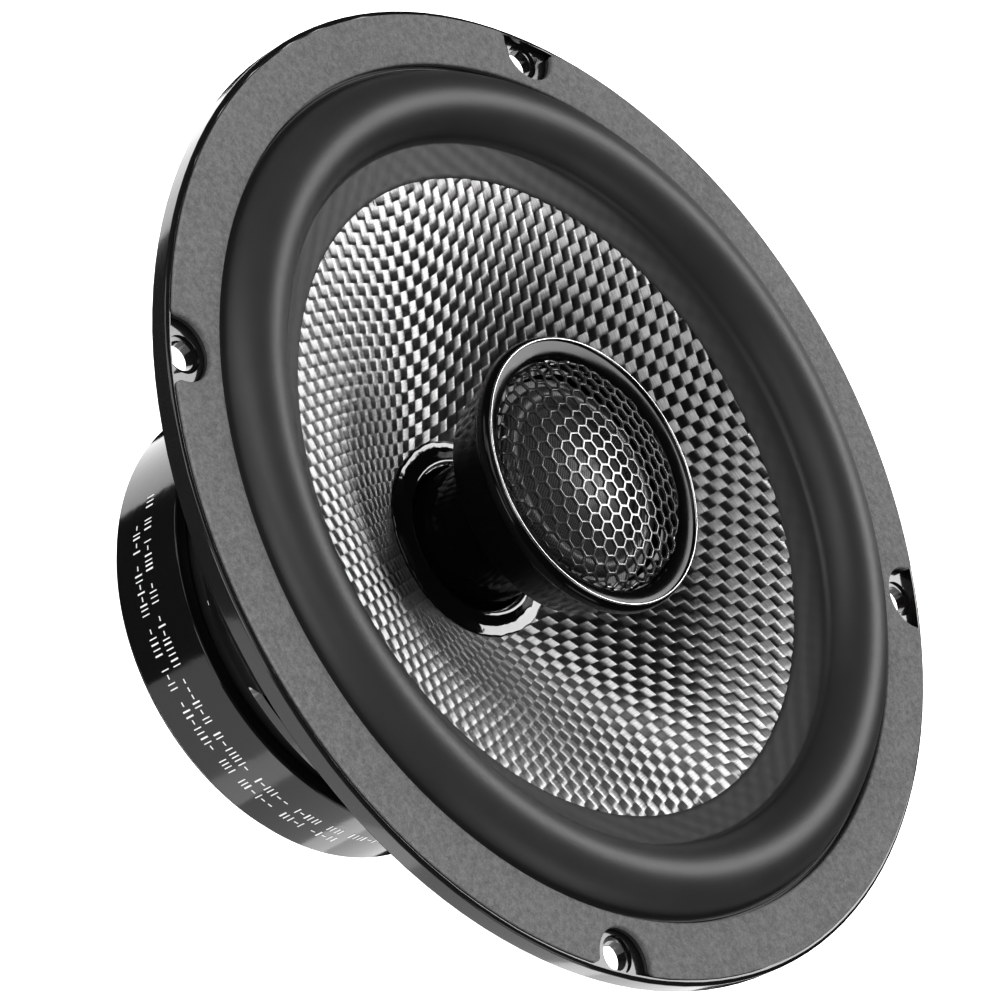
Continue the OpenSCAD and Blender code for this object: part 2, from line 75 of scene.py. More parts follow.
WEAVE_R, WEAVE_Z = 54.2, -0.1           # where the glued rim of the surround begins
THROAT_R, THROAT_Z = 16.0, -21.5
RIM_SLOPE = 0.36                        # rise of the cone's glued rim for each millimetre outwards
CONE_IN, CONE_OUT = 12.8, 59.6
ROLL_MID_R, ROLL_Z, ROLL_R, ROLL_T = 65.8, 2.5, 5.8, 0.9
RIM_T = 0.35                            # thickness of the surround's rim on the cone

TOW_PITCH = 2.045                       # one tow of the weave, measured along the cloth
TOW_TURN = math.radians(-11)            # the cloth's first direction

CUP_TOP = high("tweeter_housing").z
RIM_Z, RIM_R = high("bezel_trim").z, 22.53
GRILLE_R, GRILLE_Z, GRILLE_SPHERE = high("tweeter_grille").x, 8.0, 60.0


# ---------------------------------------------------------------- camera
CAMERA_AT = Vector((-104.74, -520.73, 417.03))
CAMERA_RIGHT = Vector((0.5746, 0.4495, 0.6839))
CAMERA_UP = Vector((-0.8048, 0.4625, 0.3720))
CAMERA_LENS = 153.8


def make_camera():
    """A long lens that looks down on the front, rolled so that the speaker leans."""
    data = bpy.data.cameras.new("camera")
    data.lens = CAMERA_LENS
    data.sensor_width = 36
    data.clip_start, data.clip_end = 0.01, 50
    camera = bpy.data.objects.new("camera", data)
    right = CAMERA_RIGHT.normalized()
    back = right.cross(CAMERA_UP.normalized()).normalized()
    turn = Matrix((right, back.cross(right), back)).transposed().to_4x4()
    camera.matrix_world = Matrix.Translation(CAMERA_AT * MM) @ turn
    bpy.context.scene.collection.objects.link(camera)
    bpy.context.scene.camera = camera


# ---------------------------------------------------------------- mesh helpers
def arc(cx, cz, r, start, end, n=8):
    """Points (r, z) on an arc about (cx, cz), from one angle to the other, in degrees."""
    return [(cx + r * math.cos(math.radians(start + (end - start) * i / n)),
             cz + r * math.sin(math.radians(start + (end - start) * i / n))) for i in range(n + 1)]


def finish_mesh(made, sharp=35, closed=True):
    """Outward normals on a closed mesh, and smooth shading with the sharp edges kept."""
    mesh = made.data
    if closed:
        shape = bmesh.new()
        shape.from_mesh(mesh)
        bmesh.ops.recalc_face_normals(shape, faces=shape.faces)
        shape.to_mesh(mesh)
        shape.free()
    mesh.shade_smooth()
    if sharp:
        mesh.set_sharp_from_angle(angle=math.radians(sharp))
    return made


def mesh_object(name, points, faces, sharp=35, closed=True):
    """A smooth mesh object from points in millimetres, with edges sharper than that angle kept."""
    mesh = bpy.data.meshes.new(name)
    mesh.from_pydata((np.asarray(points, float) * MM).tolist(), [], faces)
    made = bpy.data.objects.new(name, mesh)
    bpy.context.scene.collection.objects.link(made)
    return finish_mesh(made, sharp, closed)


def revolved(outline, steps, lift=None):
    """Points and faces of a closed outline of (r, z) turned about the Z axis.
    lift(r, z, angle) gives points a small extra height."""
    ring = np.array(outline, float)
    turn = np.linspace(0, 2 * math.pi, steps, endpoint=False)
    r = np.repeat(ring[None, :, 0], steps, 0)
    z = np.repeat(ring[None, :, 1], steps, 0)
    a = np.repeat(turn[:, None], len(ring), 1)
    if lift is not None:
        z = z + lift(r, z, a)
    points = np.stack([r * np.cos(a), r * np.sin(a), z], 2).reshape(-1, 3)
    n = len(ring)
    faces = []
    for i in range(steps):
        j = (i + 1) % steps
        for k in range(n):
            m = (k + 1) % n
            if ring[k][0] < 1e-6 and ring[m][0] < 1e-6:
                continue
            if ring[k][0] < 1e-6:
                faces.append((k, j * n + m, i * n + m))
            elif ring[m][0] < 1e-6:
                faces.append((i * n + k, j * n + k, m))
            else:
                faces.append((i * n + k, j * n + k, j * n + m, i * n + m))
    return points, faces


BOX_FACES = [(0, 1, 2, 3), (4, 7, 6, 5), (0, 4, 5, 1), (1, 5, 6, 2), (2, 6, 7, 3), (3, 7, 4, 0)]


def lathe(name, outline, steps=256, sharp=35, lift=None):
    """A closed outline of (r, z) turned about the Z axis, as an object."""
    points, faces = revolved(outline, steps, lift)
    return mesh_object(name, points, faces, sharp)


def plate(name, loops, bottom, top, edge):
    """A flat plate between closed loops of (x, y), the first one outside, with rounded edges."""
    data = bpy.data.curves.new(name, "CURVE")
    data.dimensions, data.fill_mode = "2D", "BOTH"
    data.extrude = ((top - bottom) / 2 - edge) * MM
    data.bevel_depth, data.bevel_resolution, data.offset = edge * MM, 4, -edge * MM
    for loop in loops:
        line = data.splines.new("POLY")
        line.points.add(len(loop) - 1)
        for point, (x, y) in zip(line.points, loop):
            point.co = (x * MM, y * MM, 0, 1)
        line.use_cyclic_u = True
    source = bpy.data.objects.new(name, data)
    bpy.context.scene.collection.objects.link(source)
    bpy.context.view_layer.update()
    seen = source.evaluated_get(bpy.context.evaluated_depsgraph_get())
    mesh = bpy.data.meshes.new_from_object(seen)
    bpy.data.objects.remove(source)
    mesh.name = name
    mesh.transform(Matrix.Translation((0, 0, (bottom + top) / 2 * MM)))
    made = bpy.data.objects.new(name, mesh)
    bpy.context.scene.collection.objects.link(made)
    shape = bmesh.new()
    shape.from_mesh(mesh)
    bmesh.ops.remove_doubles(shape, verts=shape.verts, dist=1e-7)
    shape.to_mesh(mesh)
    shape.free()
    finish_mesh(made, 40)
    made.modifiers.new("even_normals", "WEIGHTED_NORMAL").keep_sharp = True
    return made


def tube(name, route, radius, sides=16, per_step=6):
    """A smooth closed tube through points in millimetres."""
    points = np.array(route, float)
    inner = catmull(points, np.linspace(0, len(points) - 1, (len(points) - 1) * per_step + 1))
    ahead = np.gradient(inner, axis=0)
    ahead /= np.linalg.norm(ahead, axis=1, keepdims=True)
    normal = np.cross(ahead[0], (0.31, 0.87, 0.38))
    normal /= np.linalg.norm(normal)
    rings = []
    for centre, t in zip(inner, ahead):
        normal = normal - t * (normal @ t)
        normal /= np.linalg.norm(normal)
        other = np.cross(t, normal)
        for k in range(sides):
            a = 2 * math.pi * k / sides
            rings.append(centre + radius * (normal * math.cos(a) + other * math.sin(a)))
    faces = []
    for i in range(len(inner) - 1):
        for k in range(sides):
            m = (k + 1) % sides
            faces.append((i * sides + k, i * sides + m, (i + 1) * sides + m, (i + 1) * sides + k))
    last = (len(inner) - 1) * sides
    faces.append(tuple(range(sides)))
    faces.append(tuple(last + k for k in range(sides)))
    return mesh_object(name, rings, faces, sharp=50)


def catmull(points, t):
    """Positions at t on a smooth curve that passes through the points at whole numbers."""
    n = len(points)
    padded = np.concatenate([2 * points[:1] - points[1:2], points, 2 * points[-1:] - points[-2:-1]])
    i = np.clip(np.floor(t).astype(int), 0, n - 2)
    return blend_four([padded[i + k] for k in range(4)], (t - i)[:, None])


def blend_four(p, u):
    """The Catmull-Rom curve between p[1] and p[2]."""
    return 0.5 * (2 * p[1] + (p[2] - p[0]) * u + (2 * p[0] - 5 * p[1] + 4 * p[2] - p[3]) * u ** 2
                  + (3 * p[1] - p[0] - 3 * p[2] + p[3]) * u ** 3)


def dress(obj, material):
    """Gives an object that one material."""
    obj.data.materials.clear()
    obj.data.materials.append(material)
    return obj


def place(obj, body, slot, material, *stands_for):
    """Gives a piece its material and body, and hides the CAD nodes it stands for. Its slot is not used.
    """
    dress(obj, material)
    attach(obj, body)
    if stands_for:
        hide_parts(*stands_for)
    return obj


def stretch_between(obj, fixed, moving, fixed_r, moving_r, slot, material, *stands_for):
    """A round flexible part: gives it its material, hides the CAD nodes it stands for and bakes its
    placement into its mesh.
    fixed, moving, fixed_r, moving_r and slot are not used."""
    dress(obj, material)
    if stands_for:
        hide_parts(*stands_for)
    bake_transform(obj)
    return obj


def soften(name, material, edge=0.15):
    """A CAD node keeps its shape, and gets its material and small rounded edges."""
    node = dress(nodes[name], material)
    weld = node.modifiers.new("weld", "WELD")
    weld.merge_threshold = 1e-6
    if edge:
        bevel = node.modifiers.new("edges", "BEVEL")
        bevel.width, bevel.segments = edge * MM, 3
        bevel.limit_method, bevel.angle_limit = "ANGLE", math.radians(40)
    node.modifiers.new("even_normals", "WEIGHTED_NORMAL")
    return node


# ---------------------------------------------------------------- material helpers
class Nodes:
    """A small helper round a material's node tree."""

    def __init__(self, name):
        self.material = bpy.data.materials.new(name)
        self.material.use_nodes = True
        self.tree = self.material.node_tree
        self.shader = self.tree.nodes["Principled BSDF"]
        self.coords = self.tree.nodes.new("ShaderNodeTexCoord")

    def add(self, kind, **values):
        """A new shader node of that kind, with those properties."""
        node = self.tree.nodes.new("ShaderNode" + kind)
        for key, value in values.items():
            setattr(node, key, value)
        return node

    def link(self, a, b):
        self.tree.links.new(a, b)

    def set(self, **values):
        """Constants on the shader's sockets, named with underscores for spaces."""
        for key, value in values.items():
            self.shader.inputs[key.replace("_", " ")].default_value = value

    def mapped(self, scale=(1, 1, 1), turn=0.0):
        """Object coordinates, turned about Z and then scaled."""
        rotate = self.add("Mapping")
        rotate.inputs["Rotation"].default_value = (0, 0, turn)
        stretch = self.add("Mapping")
        stretch.inputs["Scale"].default_value = scale
        self.link(self.coords.outputs["Object"], rotate.inputs["Vector"])
        self.link(rotate.outputs["Vector"], stretch.inputs["Vector"])
        return stretch.outputs["Vector"]

    def polar(self, scale=(1, 1, 1)):
        """Radius, angle about Z and height as a vector, in metres and radians, then scaled."""
        split = self.add("SeparateXYZ")
        self.link(self.coords.outputs["Object"], split.inputs[0])
        angle = self.math("ARCTAN2", split.outputs[1], split.outputs[0])
        squares = self.math("ADD", self.math("POWER", split.outputs[0], 2.0),
                            self.math("POWER", split.outputs[1], 2.0))
        join = self.add("CombineXYZ")
        for value, socket, size in zip((self.math("SQRT", squares), angle, split.outputs[2]),
                                       join.inputs, scale):
            self.link(self.math("MULTIPLY", value, float(size)), socket)
        return join.outputs[0]

    def math(self, operation, *values):
        """A math node's result. Each value is a socket or a number."""
        node = self.add("Math", operation=operation)
        for socket, value in zip(node.inputs, values):
            if isinstance(value, bpy.types.NodeSocket):
                self.link(value, socket)
            else:
                socket.default_value = value
        return node.outputs[0]

    def noise(self, size, detail=4.0, roughness=0.55, stretch=(1, 1, 1), turn=0.0, at=None):
        """Noise whose features are about size millimetres across."""
        texture = self.add("TexNoise")
        texture.inputs["Scale"].default_value = 1.0
        texture.inputs["Detail"].default_value = detail
        texture.inputs["Roughness"].default_value = roughness
        scale = tuple(s / (size * MM) for s in stretch)
        self.link(at if at is not None else self.mapped(scale, turn), texture.inputs["Vector"])
        return texture.outputs["Fac"]

    def stripes(self, at, axis, pitch):
        """A smooth 0 to 1 wave along one axis of at, with that pitch in its own units."""
        split = self.add("SeparateXYZ")
        self.link(at, split.inputs[0])
        turns = self.math("MULTIPLY", split.outputs[axis], 2 * math.pi / pitch)
        return self.math("MULTIPLY_ADD", self.math("SINE", turns), 0.5, 0.5)

    def ramp(self, value, low, high, a, b):
        """value from low to high, as a number from a to b."""
        node = self.add("MapRange")
        for socket, number in zip(("From Min", "From Max", "To Min", "To Max"), (low, high, a, b)):
            node.inputs[socket].default_value = number
        self.link(value, node.inputs["Value"])
        return node.outputs["Result"]

    def mix(self, value, a, b):
        """The colour from a to b as value goes from 0 to 1."""
        node = self.add("Mix", data_type="RGBA")
        for socket, colour in ((6, a), (7, b)):
            if isinstance(colour, bpy.types.NodeSocket):
                self.link(colour, node.inputs[socket])
            else:
                node.inputs[socket].default_value = (*colour, 1)
        self.link(value, node.inputs[0])
        return node.outputs[2]

    def bump(self, height, depth, after=None):
        """Relief of that depth, in millimetres."""
        node = self.add("Bump")
        node.inputs["Strength"].default_value = 1.0
        node.inputs["Distance"].default_value = depth * MM
        self.link(height, node.inputs["Height"])
        if after is not None:
            self.link(after, node.inputs["Normal"])
        return node.outputs["Normal"]

    def finish(self, colour=None, rough=None, normal=None, **values):
        """Links the three outputs, sets the constants and returns the material."""
        for socket, output in (("Base Color", colour), ("Roughness", rough), ("Normal", normal)):
            if output is not None:
                self.link(output, self.shader.inputs[socket])
        self.set(**values)
        return self.material


def grey(level):
    """A linear grey."""
    return (level, level, level)


def shades(colour, spread):
    """A darker and a lighter version of a colour."""
    return [tuple(min(1, c * (1 + s)) for c in colour) for s in (-spread, spread)]


def worked(name, colour, rough, grain, depth, spread=0.2, patches=9.0, rough_spread=0.06, **shader):
    """A plain material's surface: patchy colour, uneven gloss and a fine grain in relief.
    grain, depth and patches are in millimetres."""
    n = Nodes(name)
    fine = n.noise(grain)
    broad = n.noise(patches, detail=3)
    both = n.math("MULTIPLY_ADD", fine, 0.5, n.math("MULTIPLY", broad, 0.5))
    tone = n.ramp(both, 0.35, 0.65, 0, 1)
    return n.finish(n.mix(tone, *shades(colour, spread)),
                    n.ramp(both, 0.35, 0.65, rough + rough_spread, max(0.02, rough - rough_spread)),
                    n.bump(fine, depth), **shader)


# ---------------------------------------------------------------- materials
def gloss_enamel():
    """Sprayed black enamel: deep gloss with faint orange peel and dust."""
    n = Nodes("basket_enamel")
    peel = n.noise(1.1, detail=2)
    dust = n.noise(0.18, detail=2)
    patch = n.noise(14, detail=3)
    colour = n.mix(n.ramp(dust, 0.62, 0.78, 0, 1), grey(0.010), grey(0.035))
    rough = n.math("ADD", n.ramp(patch, 0.3, 0.7, 0.10, 0.17), n.ramp(dust, 0.62, 0.78, 0, 0.2))
    return n.finish(colour, rough, n.bump(peel, 0.006), Coat_Weight=0.4, Coat_Roughness=0.06)


def gasket_rubber():
    """Matt grey rubber with a close stippled grain."""
    n = Nodes("gasket_rubber")
    fine = n.noise(0.28, detail=5, roughness=0.7)
    mottle = n.noise(0.9, detail=4)
    broad = n.noise(16, detail=2)
    speck = n.ramp(n.math("ADD", n.math("MULTIPLY", fine, 0.6), n.math("MULTIPLY", mottle, 0.4)),
                   0.38, 0.62, 0, 1)
    tone = n.math("MULTIPLY_ADD", speck, 0.75, n.math("MULTIPLY", broad, 0.25))
    return n.finish(n.mix(tone, grey(0.085), grey(0.19)), n.ramp(speck, 0, 1, 0.82, 0.66),
                    n.bump(fine, 0.03, n.bump(mottle, 0.03)), Specular_IOR_Level=0.4)


def surround_rubber():
    """Moulded rubber with a satin bloom and a very fine grain."""
    n = Nodes("surround_rubber")
    fine = n.noise(0.22, detail=4, roughness=0.7)
    broad = n.noise(11, detail=3)
    return n.finish(n.mix(broad, grey(0.026), grey(0.038)),
                    n.ramp(fine, 0.3, 0.7, 0.50, 0.36), n.bump(fine, 0.022), Specular_IOR_Level=0.6)


def tow_fibre(name, turn):
    """Bright glass fibre: fine filaments along the tow, with gloss stretched across them."""
    n = Nodes(name)
    filaments = n.noise(0.16, detail=3, stretch=(0.04, 1, 0.04), turn=-turn)
    strands = n.noise(0.5, detail=2, stretch=(0.08, 1, 0.08), turn=-turn)
    tone = n.math("MULTIPLY", n.ramp(filaments, 0.3, 0.7, 0.5, 1.0),
                  n.ramp(strands, 0.3, 0.7, 0.8, 1.0))
    across = n.add("Attribute", attribute_name="across")
    n.link(across.outputs["Vector"], n.shader.inputs["Tangent"])
    return n.finish(n.mix(tone, grey(0.22), grey(0.92)), n.ramp(filaments, 0.3, 0.7, 0.50, 0.42),
                    n.bump(filaments, 0.012), Metallic=1.0, Anisotropic=0.95)


BACK_DRAPE = 0.93        # how much the drape closes the weave up on the cone, seen in plan
RIM_DRAPE = 0.95         # and on its glued rim


def cone_resin():
    """The dark resin behind the cloth: its weave shows through on the back in relief, and its squares
    are painted lighter and darker by which tow lies on top, a painted highlight and painted shade for
    how each tow direction catches the light.
    """
    n = Nodes("cone_resin")
    at = n.mapped((1, 1, 1), -TOW_TURN)
    pitch = 2 * TOW_PITCH * BACK_DRAPE * MM
    warp = n.stripes(at, 0, pitch)
    weft = n.stripes(at, 1, pitch)
    weave = n.math("MULTIPLY", n.math("SUBTRACT", warp, 0.5), n.math("SUBTRACT", weft, 0.5))
    # painted highlight and shade: where one tow direction lies on top the square is coloured lighter,
    # where the other lies on top it is coloured darker
    painted_light_checker = n.ramp(weave, -0.12, 0.12, 0, 1)
    return n.finish(n.mix(painted_light_checker, grey(0.02), grey(0.11)), n.ramp(painted_light_checker, 0, 1, 0.5, 0.3),
                    n.bump(weave, 0.5), Specular_IOR_Level=0.6)


def glossy_black(name, level=0.006, rough=0.09, ripple=2.0, depth=0.006, dust=0.0, gloss=0.5):
    """A gloss black moulding or adhesive, with slow ripples and a few specks of dust."""
    n = Nodes(name)
    wave = n.noise(ripple, detail=2)
    speck = n.noise(0.25, detail=2)
    smear = n.noise(7, detail=4)
    colour = n.mix(n.ramp(speck, 0.66, 0.8, 0, 1), grey(level), grey(level + dust))
    rough_out = n.ramp(smear, 0.35, 0.7, rough * 0.8, rough * 1.5)
    return n.finish(colour, rough_out, n.bump(wave, depth), Specular_IOR_Level=gloss)


def turned_metal(name, level, rough):
    """Plated steel turned on a lathe: fine rings that catch the light."""
    n = Nodes(name)
    per_line = 1 / (0.12 * MM)
    rings = n.noise(1, detail=3, at=n.polar((per_line, 1.5, per_line)))
    cloud = n.noise(6, detail=4)
    tone = n.math("MULTIPLY_ADD", rings, 0.5, n.math("MULTIPLY", cloud, 0.5))
    colour = n.mix(n.ramp(tone, 0.3, 0.7, 0, 1), grey(level * 0.82), grey(level))
    return n.finish(colour, n.ramp(tone, 0.3, 0.7, rough + 0.1, rough - 0.06), n.bump(rings, 0.01),
                    Metallic=1.0)


def copper_winding():
    """Enamelled wire laid in even turns."""
    n = Nodes("copper_winding")
    turns = n.stripes(n.mapped(), 2, 0.35 * MM)
    colour = n.mix(turns, (0.20, 0.075, 0.028), (0.62, 0.27, 0.10))
    return n.finish(colour, n.ramp(turns, 0, 1, 0.45, 0.25), n.bump(turns, 0.12), Metallic=0.9)


def spider_cloth():
    """Coarse woven cloth stiffened with resin."""
    n = Nodes("spider_cloth")
    at = n.mapped()
    threads = n.math("MULTIPLY", n.stripes(at, 0, 0.7 * MM), n.stripes(at, 1, 0.7 * MM))
    fuzz = n.noise(0.4)
    tone = n.math("MULTIPLY_ADD", threads, 0.6, n.math("MULTIPLY", fuzz, 0.4))
    return n.finish(n.mix(tone, (0.10, 0.060, 0.022), (0.46, 0.30, 0.13)),
                    n.ramp(tone, 0, 1, 0.9, 0.7), n.bump(threads, 0.18, n.bump(fuzz, 0.05)),
                    Sheen_Weight=0.2)


def braid(name, colour):
    """Fine wires plaited round a cord."""
    n = Nodes(name)
    at = n.mapped((1, 1, 1), 0.6)
    plait = n.math("MULTIPLY", n.stripes(at, 0, 0.22 * MM), n.stripes(at, 2, 0.22 * MM))
    return n.finish(n.mix(plait, *shades(colour, 0.45)), n.ramp(plait, 0, 1, 0.5, 0.3),
                    n.bump(plait, 0.08), Metallic=0.9)


def silk():
    """Coated silk: fine parallel threads with a soft highlight."""
    n = Nodes("silk")
    at = n.mapped((1, 1, 1), math.radians(-33))
    threads = n.stripes(at, 0, 0.4 * MM)
    cross = n.stripes(at, 1, 0.4 * MM)
    fuzz = n.noise(0.5)
    tone = n.math("MULTIPLY_ADD", threads, 0.7, n.math("MULTIPLY", cross, 0.3))
    return n.finish(n.mix(tone, grey(0.008), grey(0.10)), n.ramp(fuzz, 0.3, 0.7, 0.36, 0.26),
                    n.bump(tone, 0.035, n.bump(fuzz, 0.01)), Coat_Weight=0.3, Coat_Roughness=0.2)


def phenolic_board():
    """Brown paper laminate with faint fibres."""
    n = Nodes("phenolic_board")
    fibre = n.noise(0.5, detail=5, stretch=(1, 0.2, 1))
    cloud = n.noise(5)
    tone = n.math("MULTIPLY_ADD", fibre, 0.6, n.math("MULTIPLY", cloud, 0.4))
    return n.finish(n.mix(n.ramp(tone, 0.35, 0.65, 0, 1), (0.10, 0.045, 0.018), (0.19, 0.095, 0.042)),
                    n.ramp(tone, 0.35, 0.65, 0.5, 0.36), n.bump(fibre, 0.01))


# ---------------------------------------------------------------- the woven cone
CONE_PULL = 2 - RIM_SLOPE * (WEAVE_R - THROAT_R) / (WEAVE_Z - THROAT_Z)
NOSE_R = 12.6        # inside this the mould that pressed the cloth had a rounded nose


def wall_z(r):
    """Height of the cone's wall between throat and glued rim, as in the CAD part."""
    u = (r - THROAT_R) / (WEAVE_R - THROAT_R)
    return THROAT_Z + (WEAVE_Z - THROAT_Z) * (CONE_PULL * u + (1 - CONE_PULL) * u * u)


def cone_z(r):
    """Height of the pressed cloth at radius r, from the mould's nose to the rim."""
    nose_slope = (wall_z(NOSE_R + 0.01) - wall_z(NOSE_R - 0.01)) / 0.02
    nose = wall_z(NOSE_R) + nose_slope * (r * r - NOSE_R ** 2) / (2 * NOSE_R)
    rim = WEAVE_Z + RIM_SLOPE * (r - WEAVE_R)
    return np.where(r > WEAVE_R, rim, np.where(r < NOSE_R, nose, wall_z(r)))


def cone_point(x, y, h):
    """The point at height h off the cone's face, along its normal."""
    r = np.hypot(x, y)
    step = 0.05
    slope = (cone_z(r + step) - cone_z(r - step)) / (2 * step)
    length = np.sqrt(1 + slope * slope)
    return np.stack([x - h * slope / length * x / r, y - h * slope / length * y / r,
                     cone_z(r) + h / length], -1)


NET_COUNT = 38         # crossings from the middle of the cloth to its edge
NET_R = 67.0           # the cloth is worked out as far as this
NET_AXIS_R = 80.0      # its two middle threads run as far as this
NET_STEPS = 8          # Newton steps for each crossing


def draped_net(pitch, count):
    """Crossings of a cloth pressed over the cone. Neighbours stay one pitch apart along both
    families of threads, and the cloth gives only by shearing, as a woven cloth does."""
    reach = np.linspace(0, NET_AXIS_R, 4001)
    lengths = np.concatenate([[0], np.cumsum(np.hypot(np.diff(reach), np.diff(cone_z(reach))))])
    axis = np.interp(np.arange(count) * pitch, lengths, reach)
    net = np.full((count, count, 2), np.nan)
    net[:, 0] = np.stack([axis, 0 * axis], 1)
    net[0, :] = np.stack([0 * axis, axis], 1)

    def spot(x, y):
        return np.array([x, y, float(cone_z(math.hypot(x, y)))])

    step = 1e-4
    for i in range(1, count):
        for j in range(1, count):
            guess = net[i, j - 1] + net[i - 1, j] - net[i - 1, j - 1]
            if not np.hypot(*guess) < NET_R:
                continue
            a, b = spot(*net[i, j - 1]), spot(*net[i - 1, j])
            for _ in range(NET_STEPS):
                q = spot(*guess)
                miss = np.array([(q - a) @ (q - a), (q - b) @ (q - b)]) - pitch * pitch
                dx = (spot(guess[0] + step, guess[1]) - q) / step
                dy = (spot(guess[0], guess[1] + step) - q) / step
                slopes = 2 * np.array([[(q - a) @ dx, (q - a) @ dy], [(q - b) @ dx, (q - b) @ dy]])
                guess = guess - np.linalg.solve(slopes, miss)
            net[i, j] = guess
    whole = np.full((2 * count - 1, 2 * count - 1, 2), np.nan)
    for sx in (1, -1):
        for sy in (1, -1):
            rows = count - 1 + sx * np.arange(count)
            columns = count - 1 + sy * np.arange(count)
            whole[np.ix_(rows, columns)] = net * (sx, sy)
    c, s = math.cos(TOW_TURN), math.sin(TOW_TURN)
    return whole @ np.array([[c, s], [-s, c]])


def net_point(net, u, v):
    """Plan position at fractional thread numbers u and v, smooth through the crossings."""
    i, j = np.floor(u).astype(int), np.floor(v).astype(int)
    fu, fv = (u - i)[..., None], (v - j)[..., None]
    rows = [blend_four([net[i + a, j + b] for b in (-1, 0, 1, 2)], fv) for a in (-1, 0, 1, 2)]
    return blend_four(rows, fu)


TOW_LIFT = 0.12        # height of the tow's middle over the cone's face
TOW_WAVE = 0.075       # how far it rises and falls at the crossings
TOW_CROWN = 0.035      # how far its middle stands above its edges
TOW_FILL = 0.985       # its width, as a part of the pitch
TOW_CUTS = 6           # rings for each crossing
TOW_FLAT = 2.2         # the higher, the flatter a tow lies between its bends
WEAVE_IN, WEAVE_OUT = 14.6, 55.3


def float_wave(t):
    """From 1 on top of a crossing to -1 under the next, flattened at both."""
    return np.tanh(TOW_FLAT * np.cos(math.pi * t)) / math.tanh(TOW_FLAT)


def make_tows(name, net, along_first):
    """All tows of one direction: closed ribbons with a crowned top that pass over and under."""
    size = len(net)
    middle = size // 2
    half = TOW_FILL / 2
    section = np.array([-1.0, -0.8, -0.35, 0.35, 0.8, 1.0]) * half
    crown = TOW_CROWN * np.sqrt(np.clip(1 - (section / half) ** 2, 0, 1))
    points, faces, acrosses = [], [], []
    m = len(section)
    for k in range(3, size - 3):
        along = np.arange(2 * TOW_CUTS, (size - 3) * TOW_CUTS) / TOW_CUTS
        a, s = np.meshgrid(along, k + section, indexing="ij")
        plan = net_point(net, a, s) if along_first else net_point(net, s, a)
        r = np.hypot(plan[..., 0], plan[..., 1])
        good = (np.isfinite(r) & (r > WEAVE_IN) & (r < WEAVE_OUT)).all(1)
        over = 1 if along_first else -1
        height = TOW_LIFT + over * TOW_WAVE * float_wave(along - middle) * (-1) ** (k - middle)
        grid = cone_point(plan[..., 0], plan[..., 1], height[:, None] + crown[None, :])
        cross = np.gradient(grid, axis=1)
        cross = cross / np.linalg.norm(cross, axis=2, keepdims=True)
        edges = np.flatnonzero(np.diff(np.concatenate([[0], good.astype(int), [0]])))
        for start, end in zip(edges[::2], edges[1::2]):
            if end - start < 2:
                continue
            base = len(points)
            points.extend(grid[start:end].reshape(-1, 3))
            acrosses.extend(cross[start:end].reshape(-1, 3))
            for i in range(end - start - 1):
                p = base + i * m
                faces += [(p + j, p + m + j, p + m + j + 1, p + j + 1) for j in range(m - 1)]
                faces.append((p + m - 1, p + 2 * m - 1, p + m, p))
            faces.append(tuple(base + j for j in range(m)))
            last = base + (end - start - 1) * m
            faces.append(tuple(last + j for j in range(m - 1, -1, -1)))
    made = mesh_object(name, points, faces, sharp=60)
    attribute = made.data.attributes.new("across", "FLOAT_VECTOR", "POINT")
    attribute.data.foreach_set("vector", np.array(acrosses, np.float32).ravel())
    return made


def make_cone():
    """The woven cloth on the cone's face, tow by tow, and the resin behind it."""
    net = draped_net(TOW_PITCH, NET_COUNT)
    for name, along_first, turn in (("cone_warp", True, TOW_TURN),
                                    ("cone_weft", False, TOW_TURN + math.pi / 2)):
        tows = make_tows(name, net, along_first)
        place(tows, "cone_assembly", "woven_cone", tow_fibre(name + "_fibre", turn))
    soften("cone", cone_resin(), edge=0)


def weave_lift(r, a, depth):
    """The cloth's weave showing through a thin skin, at radius r and angle a."""
    x, y = r * np.cos(a - TOW_TURN), r * np.sin(a - TOW_TURN)
    pitch = TOW_PITCH * RIM_DRAPE
    return depth * np.cos(math.pi * x / pitch) * np.cos(math.pi * y / pitch)


# ---------------------------------------------------------------- surround, gasket and collar
def notched_ring(inner, outer):
    """An inner circle, and an outer one with a U-shaped notch round each screw hole."""
    w, f = NOTCH_R, NOTCH_FILLET
    fx, fy = math.sqrt((outer - f) ** 2 - (w + f) ** 2), w + f
    mouth = math.degrees(math.atan2(fy, fx))
    side = [(fx, fy, f, mouth, -90), (NOTCH_MID_R, 0, w, 90, 270), (fx, -fy, f, 90, -mouth)]
    loop = []
    for k in range(4):
        notch = sum((arc(*piece, n) for piece, n in zip(side, (8, 32, 8))), [])
        notch += arc(0, 0, outer, -mouth, -(90 - mouth), 48)[1:-1]
        turn = math.radians(45 - 90 * k)
        loop += [(x * math.cos(turn) - y * math.sin(turn), x * math.sin(turn) + y * math.cos(turn))
                 for x, y in notch]
    return [loop, arc(0, 0, inner, 0, 360, 256)[:-1]]


def rim_z(r):
    """Height of the cone's glued rim at radius r."""
    return WEAVE_Z + RIM_SLOPE * (r - WEAVE_R)


